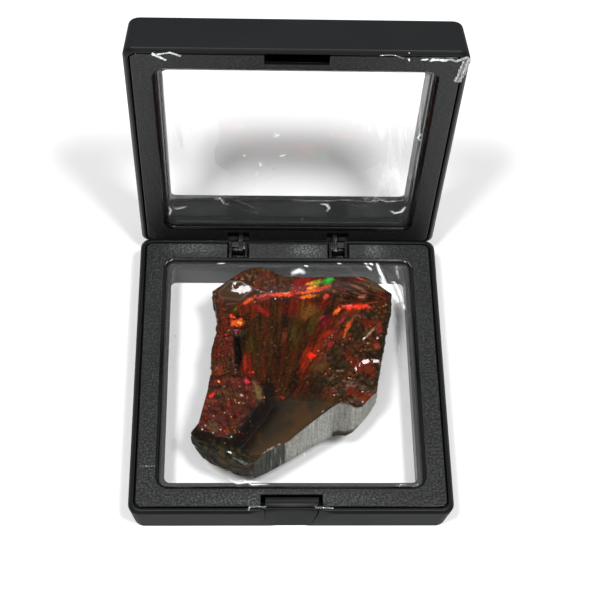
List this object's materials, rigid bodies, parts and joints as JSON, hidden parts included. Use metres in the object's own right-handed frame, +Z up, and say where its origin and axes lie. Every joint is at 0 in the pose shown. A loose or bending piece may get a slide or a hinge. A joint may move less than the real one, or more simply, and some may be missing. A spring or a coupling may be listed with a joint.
{
  "type": "ammolite specimen",
  "caption": "Slab of iridescent ammonite shell on dark matrix, resting on the stretch film of a hinged black display box that stands open.",
  "frame": {"origin": "on the table, under the middle of the open box", "axes": "+X to the right along the hinge, +Y from the catch to the hinge, +Z up"},
  "size_m": [0.07, 0.0808, 0.075],
  "materials": {
    "black_shell": "satin",
    "black_frame": "fine grain",
    "clear_film": "clear, glossy",
    "ammolite": "polished"
  },
  "bodies": {
    "base": {"base_shell": "black_shell", "base_film": "clear_film", "base_inner_frame": "black_frame", "ammolite_specimen": "ammolite"},
    "lid": {"lid_shell": "black_shell", "lid_film": "clear_film", "lid_inner_frame": "black_frame"}
  },
  "joints": [
    {"name": "lid_hinge", "type": "hinge", "parent": "base", "child": "lid", "pos_m": [0, 0.02795, 0.0066], "axis": [1, 0, 0], "range_deg": [0, 90], "deforming": ["lid_film"]}
  ]
}
